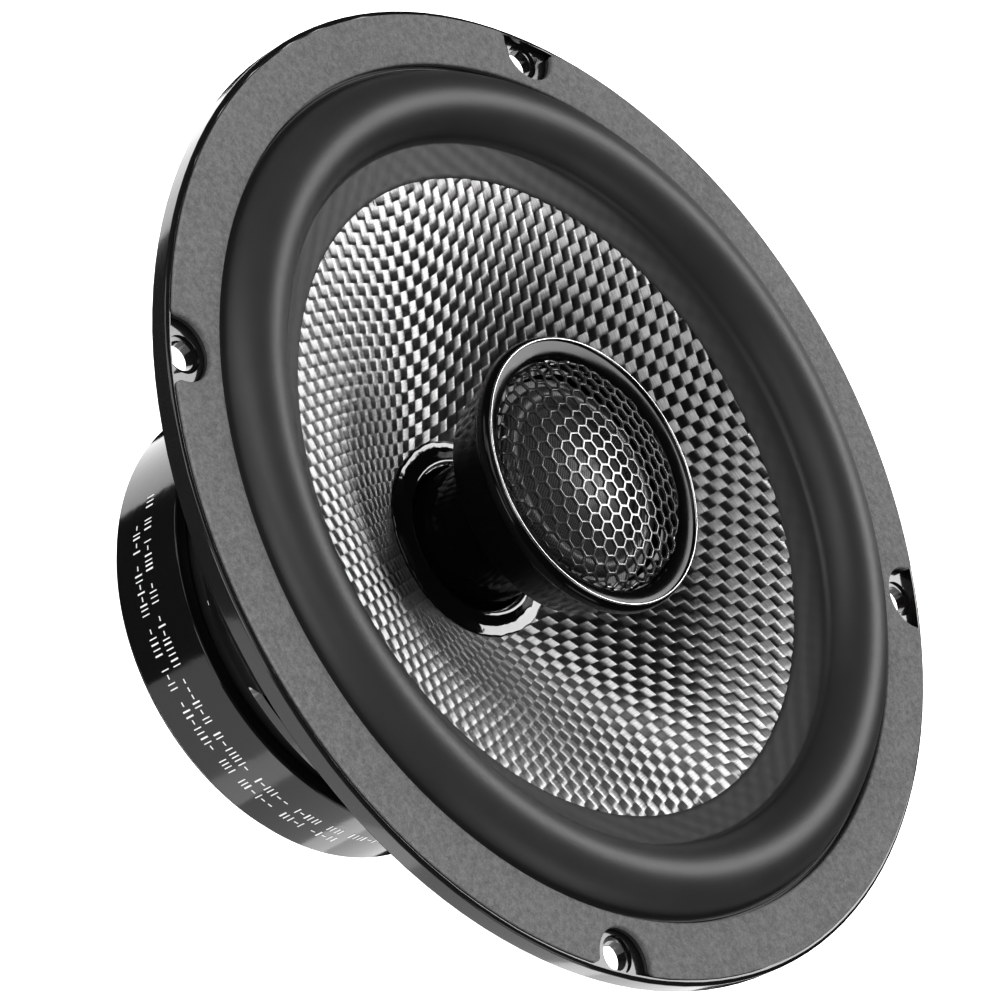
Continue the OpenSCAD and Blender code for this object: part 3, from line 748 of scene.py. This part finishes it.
def make_surround():
    """Half-roll of moulded rubber, its rim glued on the cone and its foot on the flange."""
    rubber = surround_rubber()
    fillet = 0.4
    bead_r, bead_mid = 0.22, 72.2
    rim_end = ROLL_MID_R - ROLL_R - fillet
    rim_top = [(WEAVE_R, rim_z(WEAVE_R) + 0.05), (WEAVE_R + 0.04, rim_z(WEAVE_R) + RIM_T - 0.06),
               (WEAVE_R + 0.14, rim_z(WEAVE_R) + RIM_T)]
    rim_top += [(r, rim_z(r) + RIM_T) for r in np.linspace(WEAVE_R + 0.4, rim_end, 20)]
    top = rim_top + arc(ROLL_MID_R, ROLL_Z, ROLL_R, 176, 8, 40)
    roll_out = ROLL_MID_R + ROLL_R
    top += [(roll_out + fillet * 0.4, FOOT_TOP + 0.1), (roll_out + fillet * 0.8, FOOT_TOP)]
    top += arc(bead_mid, FOOT_TOP, bead_r, 180, 0, 8) + [(GASKET_IN + 1.5, FOOT_TOP)]
    under = [(GASKET_IN + 1.5, FOOT_LOW), (roll_out - 0.3, FOOT_LOW)]
    under += arc(ROLL_MID_R, ROLL_Z, ROLL_R - ROLL_T, 0, 180, 24)
    under += [(CONE_OUT, rim_z(CONE_OUT)), (WEAVE_R, rim_z(WEAVE_R))]

    def lift(r, z, a):
        on_rim = np.clip((r - WEAVE_R - 0.2) / 0.5, 0, 1) * np.clip((rim_end - r) / 0.5, 0, 1)
        return on_rim * weave_lift(r, a, 0.03)

    roll = lathe("surround_roll", top + under, steps=640, sharp=50, lift=lift)
    stretch_between(roll, "frame", "cone_assembly", roll_out, ROLL_MID_R - ROLL_R,
                    "surround_rubber", rubber, "surround")
    foot = plate("surround_foot", notched_ring(GASKET_IN + 1.0, GASKET_OUT - 0.15),
                 FOOT_LOW, FOOT_TOP - 0.01, 0.15)
    place(foot, "frame", "surround_rubber", rubber)


def make_gasket():
    """The matt ring that covers the surround's foot."""
    gasket = plate("gasket_ring", notched_ring(GASKET_IN, GASKET_OUT), FOOT_TOP, GASKET_TOP, 0.35)
    place(gasket, "frame", "gasket_rubber", gasket_rubber(), "gasket")


# Points (r, z) of the bead's top from the hole outwards, then steps from there down to the cloth.
COLLAR_TOP = [(12.8, -20.3), (12.85, -19.85), (13.0, -19.65), (13.25, -19.6), (13.7, -19.72),
              (14.3, -19.98), (15.0, -20.2), (15.7, -20.3), (16.4, -20.33)]
COLLAR_DROP = [(0.0, -0.02), (0.12, -0.10), (0.2, -0.26)]
COLLAR_SINK = 0.1                       # how far its underside sinks into the cloth


def make_collar():
    """A hand-laid bead of adhesive: it climbs the former, lies level, and its outer edge wanders."""
    steps = 360
    a = np.linspace(0, 2 * math.pi, steps, endpoint=False)
    wander = (0.28 * np.sin(a + 0.6) + 0.16 * np.sin(2 * a + 2.1) + 0.10 * np.sin(5 * a + 0.4)
              + 0.06 * np.sin(9 * a + 1.3) + 0.06 * np.sin(23 * a) + 0.04 * np.sin(41 * a + 2.0))
    last_r, last_z = COLLAR_TOP[-1]
    rings = []
    for r, z in COLLAR_TOP:
        t = (r - CONE_IN) / (last_r - CONE_IN)
        rings.append((r + wander * t, z + 0 * a))
    for dr, dz in COLLAR_DROP:
        rings.append((last_r + 0.3 + wander + dr, last_z + dz + 0 * a))
    edge = rings[-1][0]
    hole = np.full_like(a, CONE_IN)
    rings.append((edge + 0.05, cone_z(edge + 0.05) - COLLAR_SINK))
    rings.append((hole, cone_z(hole) - COLLAR_SINK))
    points = [np.stack([r * np.cos(a), r * np.sin(a), z], 1) for r, z in rings]
    count = len(points)
    faces = [(i * steps + k, i * steps + (k + 1) % steps, ((i + 1) % count) * steps + (k + 1) % steps,
              ((i + 1) % count) * steps + k) for i in range(count) for k in range(steps)]
    bead = mesh_object("collar_bead", np.concatenate(points), faces, sharp=60)
    place(bead, "cone_assembly", "black_adhesive",
          glossy_black("adhesive", rough=0.05, ripple=2.2, depth=0.03, gloss=1.0), "coil_collar")


# ---------------------------------------------------------------- motor side
def make_spider():
    """The corrugated disc of stiff cloth that centres the coil."""
    flat_in, flat_out, waves, depth, half = 14.0, 33.6, 5, 1.1, 0.25
    mid_z = (low("spider").z + high("spider").z) / 2
    wave = [(flat_in + (flat_out - flat_in) * t, mid_z + depth * math.sin(2 * math.pi * waves * t))
            for t in np.linspace(0, 1, 121)]
    middle = [(CONE_IN, mid_z)] + wave + [(high("spider").x, mid_z)]
    outline = [(r, z - half) for r, z in middle] + [(r, z + half) for r, z in reversed(middle)]
    cloth = lathe("spider_cloth", outline, 192, 50)
    stretch_between(cloth, "frame", "cone_assembly", flat_out, flat_in, "spider_cloth",
                    spider_cloth(), "spider")


# Route of a tinsel lead as (x, y) = (distance out, height), before it turns to the terminals.
TINSEL_ROUTE = [(54.5, -22.5), (52, -24.4), (47.5, -25.8), (42.5, -25.8), (37.5, -24.2),
                (33, -21.4), (29.5, -18.2), (27.2, -15.8), (26.4, -14.2)]
TWEETER_ROUTE = [(0, 0, -2.6), (0, 0, -20), (0, 0, -40), (0, 0, -55), (0, 0.3, -57.2), (0, 1.2, -59.3),
                 (0, 2.9, -60.6), (0, 5.2, -60.95), (0, 20, -60.95), (0, 36, -60.95), (0, 38.8, -60.9),
                 (0, 40.6, -60.3), (0, 41.6, -59.1), (0, 41.9, -57.4), (0, 41.9, -52), (0, 42, -47),
                 (0, 42.6, -44.4), (0.3, 44.6, -41.2), (1.2, 48, -37.6), (2.93, 52.66, -32.9)]
TERMINAL_AZ = math.radians(75)
TAB_Y = 6.0


def make_wires():
    """The leads that the part holds: two of tinsel braid, and the tweeter's twin lead."""
    plaited = braid("tinsel_braid", (0.62, 0.40, 0.20))
    c, s = math.cos(TERMINAL_AZ), math.sin(TERMINAL_AZ)
    for name, y in (("tinsel_lead_left", -TAB_Y), ("tinsel_lead_right", TAB_Y)):
        route = [(x * c - y * s, x * s + y * c, z) for x, z in TINSEL_ROUTE]
        lead = dress(tube(name, route, 0.5, 12), plaited)
        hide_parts("tinsel_leads")
        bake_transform(lead)
    jacket = worked("wire_jacket", grey(0.012), 0.45, 0.4, 0.01)
    place(tube("tweeter_wire", TWEETER_ROUTE, 0.9), "frame", "wire_jacket", jacket, "tweeter_lead")


def make_motor():
    """The looks of the basket, the magnet system and the voice coil, whose CAD shapes stay."""
    zinc = turned_metal("zinc_plate", 0.80, 0.26)
    soften("yoke", zinc, 0.25)
    soften("post_nut", zinc, 0.25)
    soften("basket_rivets", zinc, 0.2)
    soften("top_plate", worked("plate_paint", grey(0.010), 0.35, 0.3, 0.006), 0.25)
    soften("magnet", worked("ferrite", grey(0.045), 0.6, 0.35, 0.02, spread=0.35), 0.2)
    boot = glossy_black("boot_plastic", rough=0.08, ripple=3.0, depth=0.012, dust=0.02)
    soften("magnet_boot", boot, 0.25)
    soften("basket", gloss_enamel(), 0.35)
    soften("spider_ring", worked("spider_ring_plastic", grey(0.02), 0.5, 0.3, 0.01), 0.2)
    soften("voice_coil_former", turned_metal("foil", 0.7, 0.25), 0)
    soften("voice_coil", copper_winding(), 0.05)


MARK_ROWS = [(-52.2, 210.5, 318, 11), (-55.0, 217, 312, 9)]   # height, first and last angle, seed
MARK_TALL, DASH_TALL = 1.7, 0.255
TICK_WIDTHS = [0.2, 0.2, 0.3, 0.8]      # the last one is the lying dash
TICK_GAPS = [0.5, 0.7]
GROUP_GAP = 1.6


def make_marks():
    """Two rows of plain upright ticks round the boot, where the real one is printed."""
    boot_r = high("magnet_boot").x
    inner, outer = boot_r - 0.1, boot_r + 0.04
    points, faces = [], []
    for z, start, end, seed in MARK_ROWS:
        random = np.random.default_rng(seed)
        angle = start
        while angle < end:
            for _ in range(random.integers(3, 10)):
                width = random.choice(TICK_WIDTHS)
                tall = DASH_TALL if width == TICK_WIDTHS[-1] else MARK_TALL
                base = len(points)
                for a in (math.radians(angle), math.radians(angle) + width / boot_r):
                    for r, h in ((inner, -tall), (outer, -tall), (outer, tall), (inner, tall)):
                        points.append((r * math.cos(a), r * math.sin(a), z + h / 2))
                faces += [tuple(base + k for k in corner) for corner in BOX_FACES]
                angle += math.degrees((width + random.choice(TICK_GAPS)) / boot_r)
            angle += math.degrees(GROUP_GAP / boot_r)
    marks = mesh_object("boot_marks", points, faces, sharp=30)
    place(marks, "frame", "boot_plastic", worked("mark_ink", grey(0.55), 0.4, 0.2, 0.004, spread=0.1))


# ---------------------------------------------------------------- tweeter
CUP_R = 22.3


def cup_outline():
    """Outline (r, z) of the cup that flares from the post up to the bezel."""
    bore_r, post_r, flare_z, floor_z, floor_r = 9.7, 11.7, -8.0, -1.8, 18.3
    foot_r, foot_z, foot_round = 19.8, -3.3, 0.7
    outside = ([(bore_r, flare_z), (post_r, flare_z)]
               + arc(foot_r - foot_round, foot_z + 0.75, foot_round, -63, -15, 6)
               + [(CUP_R, CUP_TOP)])
    return outside + [(CUP_R - 1.5, CUP_TOP), (floor_r, floor_z), (bore_r, floor_z)]


def bezel_outline():
    """Outline (r, z) of the bezel, from its seat on the cup over the lip to the grille's seat."""
    seat_r, seat_z, lip = 17.8, 5.6, 23.3
    bore = GRILLE_R + 0.2
    foot_round, lip_round = 0.75, 1.15
    return ([(seat_r, CUP_TOP), (CUP_R, CUP_TOP), (CUP_R + 0.45, CUP_TOP + 0.25)]
            + arc(lip - foot_round, CUP_TOP + 1.35, foot_round, -40, 0, 5)
            + arc(lip - lip_round, RIM_Z - 1.55, lip_round, 0, 62, 10)
            + [(RIM_R - 0.3, RIM_Z - 0.45)]
            + arc(bore + 1.0, GRILLE_Z - 1.2, 1.0, 100, 180, 8) + [(bore, seat_z), (seat_r, seat_z)])


def make_tweeter():
    """Cup, bezel and bright rim, and the looks of the tweeter's motor and post."""
    plastic = glossy_black("tweeter_plastic", 0.004, 0.13, ripple=3.5, depth=0.006, dust=0.01,
                           gloss=0.3)
    cup = lathe("tweeter_cup", cup_outline())
    place(cup, "frame", "tweeter_plastic", plastic, "tweeter_housing")
    bezel = lathe("tweeter_ring", bezel_outline())
    place(bezel, "frame", "tweeter_plastic", plastic, "tweeter_bezel")
    trim = arc(RIM_R - 0.05, RIM_Z - 0.2, 0.2, -30, 210, 12)
    trim += [(RIM_R - 0.2, RIM_Z - 0.5), (RIM_R + 0.1, RIM_Z - 0.5)]
    bright = turned_metal("bright_trim", 0.85, 0.2)
    place(lathe("bright_ring", trim), "frame", "bright_trim", bright, "bezel_trim")
    soften("tweeter_post", plastic, 0)
    for name in ("tweeter_pot", "tweeter_pole_plate"):
        soften(name, turned_metal(name + "_zinc", 0.7, 0.3), 0.1)
    soften("tweeter_magnet", turned_metal("nickel", 0.6, 0.25), 0.1)
    soften("tweeter_coil", copper_winding(), 0.05)
    soften("dome_ring", worked("dome_ring_plastic", grey(0.02), 0.5, 0.3, 0.01), 0.1)


def make_dome():
    """The silk dome and the small roll that carries it."""
    cloth = silk()
    base_r, height, base_z, skin = 12.8, 3.6, 4.0, 0.25
    sphere = (base_r * base_r + height * height) / (2 * height)
    edge = math.degrees(math.asin(base_r / sphere))
    mid_z = base_z + height - sphere
    outline = arc(0, mid_z, sphere, 90 - edge, 90, 24) + arc(0, mid_z, sphere - skin, 90, 90 - edge, 24)
    outline = [(r if r > 1e-5 else 0.0, z) for r, z in outline]
    place(lathe("silk_dome", outline, 192), "tweeter_diaphragm", "silk", cloth, "tweeter_dome")
    mid, roll, floor, skin, land = 14.5, 1.7, 3.9, 0.2, 1.2
    outline = (arc(mid, floor, roll, 180, 6, 20)
               + [(mid + roll + land, floor + skin), (mid + roll + land, floor)]
               + arc(mid, floor, roll - skin, 0, 180, 20))
    ring = lathe("silk_roll", outline, 192, 60)
    stretch_between(ring, "frame", "tweeter_diaphragm", mid + roll, mid - roll, "silk", cloth,
                    "tweeter_suspension")


MESH_PITCH = 2.7                      # from one hole's centre to the next
MESH_LAND = 0.44                      # width of the metal between two holes
MESH_SHEET = 0.45                     # thickness of the sheet
MESH_TURN = math.radians(28.5)
MESH_SHIFT = Vector((-1.33, 0.36))    # centre of the hole nearest the axis
MESH_BEND = 0.6                       # radius of the bend from the dome to the skirt
MESH_FOOT_Z = 5.7                     # where the skirt ends


def grille_profile(s):
    """(r, z) of the grille's outer face at distance s from its middle, along the sheet."""
    top = GRILLE_Z + GRILLE_SPHERE - math.sqrt(GRILLE_SPHERE ** 2 - GRILLE_R ** 2)
    cap = GRILLE_SPHERE * math.asin((GRILLE_R - MESH_BEND) / GRILLE_SPHERE)
    t = min(s, cap) / GRILLE_SPHERE
    r, z = GRILLE_SPHERE * math.sin(t), top - GRILLE_SPHERE * (1 - math.cos(t))
    if s > cap:
        t = min((s - cap) / MESH_BEND, math.pi / 2)
        r, z = r + MESH_BEND * math.sin(t), z - MESH_BEND * (1 - math.cos(t))
    return r, z - max(0.0, s - cap - MESH_BEND * math.pi / 2)


def make_grille():
    """Pressed hexagon mesh: a flat sheet of cells, bent over the dome and down its skirt."""
    limit = 0.1
    while grille_profile(limit)[1] > MESH_FOOT_Z:
        limit += 0.05
    shape = bmesh.new()
    found = {}

    def corner(flat):
        key = (round(flat.x, 3), round(flat.y, 3))
        if key not in found:
            s = flat.length
            r, z = grille_profile(s)
            found[key] = shape.verts.new(Vector((r * flat.x / s, r * flat.y / s, z)) * MM)
        return found[key]

    side = MESH_PITCH / math.sqrt(3)
    inside = side - MESH_LAND / math.sqrt(3)
    rows = int(limit / MESH_PITCH) + 3
    spin = Matrix.Rotation(MESH_TURN, 2)
    sixths = [math.pi * k / 3 for k in range(6)]
    spokes = [spin @ Vector((math.sin(turn), math.cos(turn))) for turn in sixths]
    for row in range(-rows, rows + 1):
        for column in range(-rows, rows + 1):
            flat = Vector((column + 0.5 * (row % 2), row * math.sqrt(3) / 2)) * MESH_PITCH
            middle = spin @ flat + MESH_SHIFT
            if middle.length + side > limit:
                continue
            for a, b in zip(spokes, spokes[1:] + spokes[:1]):
                ring = (middle + side * a, middle + side * b, middle + inside * b, middle + inside * a)
                shape.faces.new([corner(point) for point in ring])
    bmesh.ops.recalc_face_normals(shape, faces=shape.faces)
    mesh = bpy.data.meshes.new("grille_mesh")
    shape.to_mesh(mesh)
    shape.free()
    net = bpy.data.objects.new("grille_mesh", mesh)
    bpy.context.scene.collection.objects.link(net)
    sheet = net.modifiers.new("sheet", "SOLIDIFY")
    sheet.thickness, sheet.offset = MESH_SHEET * MM, -1
    edges = net.modifiers.new("edges", "BEVEL")
    edges.width, edges.segments, edges.limit_method = 0.09 * MM, 2, "ANGLE"
    edges.angle_limit = math.radians(50)
    mesh.shade_smooth()
    net.modifiers.new("even_normals", "WEIGHTED_NORMAL")
    paint = worked("grille_enamel", grey(0.22), 0.2, 0.2, 0.004, spread=0.3, Metallic=0.9)
    place(net, "frame", "grille_steel", paint, "tweeter_grille")


# ---------------------------------------------------------------- terminals
def make_terminals():
    """The looks of the terminal board, its spades and the capacitor, whose CAD shapes stay."""
    soften("terminal_board", phenolic_board(), 0.2)
    tinned = worked("tinned_brass", (0.70, 0.62, 0.42), 0.26, 0.5, 0.004, Metallic=1.0)
    for name in ("positive_spade", "negative_spade", "terminal_rivets"):
        soften(name, tinned, 0.12)
    soften("capacitor", worked("capacitor_sleeve", (0.012, 0.018, 0.06), 0.22, 1.5, 0.02), 0.4)
    soften("capacitor_leads", worked("tinned_wire", grey(0.62), 0.3, 0.3, 0.006, Metallic=1.0), 0)


# ---------------------------------------------------------------- studio
LIGHT_REACH = 1.2                          # distance of each soft square light, in metres
LIGHTS = [                                 # azimuth and height in degrees, side in metres, watts
    ("key", 73, 40, 0.53, 5.2),
    ("left_high", 210, 38, 0.53, 1.9),
    ("front_high", 242, 49, 0.53, 0.8),
    ("front_low", 250, 6, 0.53, 2.5),
    ("left_low", 197, 11, 0.53, 1.4),
    ("right_low", 335, 9, 0.53, 1.2),
    ("back_low", 80, -1, 0.53, 0.6),
    ("under_left", 138, -40, 0.75, 4.0),
    ("under_front", 283, -40, 1.1, 4.5),
    ("under_right", 336, -40, 1.1, 4.0),
    ("under_back", 20, -40, 0.7, 2.5),
]


def make_light(name, azimuth, height, side, watts):
    """A square light that faces the speaker from that direction, unseen by the camera."""
    a, h = math.radians(azimuth), math.radians(height)
    way = Vector((math.cos(a) * math.cos(h), math.sin(a) * math.cos(h), math.sin(h)))
    data = bpy.data.lights.new(name, "AREA")
    data.shape, data.size, data.energy = "SQUARE", side, watts
    light = bpy.data.objects.new(name, data)
    light.location = way * LIGHT_REACH
    light.rotation_mode = "QUATERNION"
    light.rotation_quaternion = (-way).to_track_quat("-Z", "Y")
    light.visible_camera = False
    bpy.context.scene.collection.objects.link(light)


def make_studio():
    """Soft square lights all round, an even sky, and a plain white floor that shades nothing."""
    world = bpy.data.worlds.new("studio")
    world.use_nodes = True
    world.node_tree.nodes["Background"].inputs["Color"].default_value = (1, 1, 1, 1)
    world.node_tree.nodes["Background"].inputs["Strength"].default_value = 0.85
    world.cycles_visibility.glossy = False
    bpy.context.scene.world = world
    size = 20 / MM
    floor_z = BACK_Z - 0.05
    floor = mesh_object("floor", [(-size, -size, floor_z), (size, -size, floor_z), (size, size, floor_z),
                                  (-size, size, floor_z)], [(0, 1, 2, 3)], closed=False)
    n = Nodes("floor_paint")
    n.finish(n.mix(n.noise(400), grey(0.86), grey(0.92)), Roughness=0.9, Emission_Color=(1, 1, 1, 1),
             Emission_Strength=1.0)
    dress(floor, n.material)
    floor.visible_glossy = False
    floor.visible_shadow = False
    for light in LIGHTS:
        make_light(*light)
    bpy.context.scene.view_settings.view_transform = "Standard"
    bpy.context.scene.view_settings.look = "Medium High Contrast"


make_camera()
make_studio()
make_cone()
make_surround()
make_gasket()
make_collar()
make_spider()
make_motor()
make_marks()
make_wires()
make_tweeter()
make_dome()
make_grille()
make_terminals()
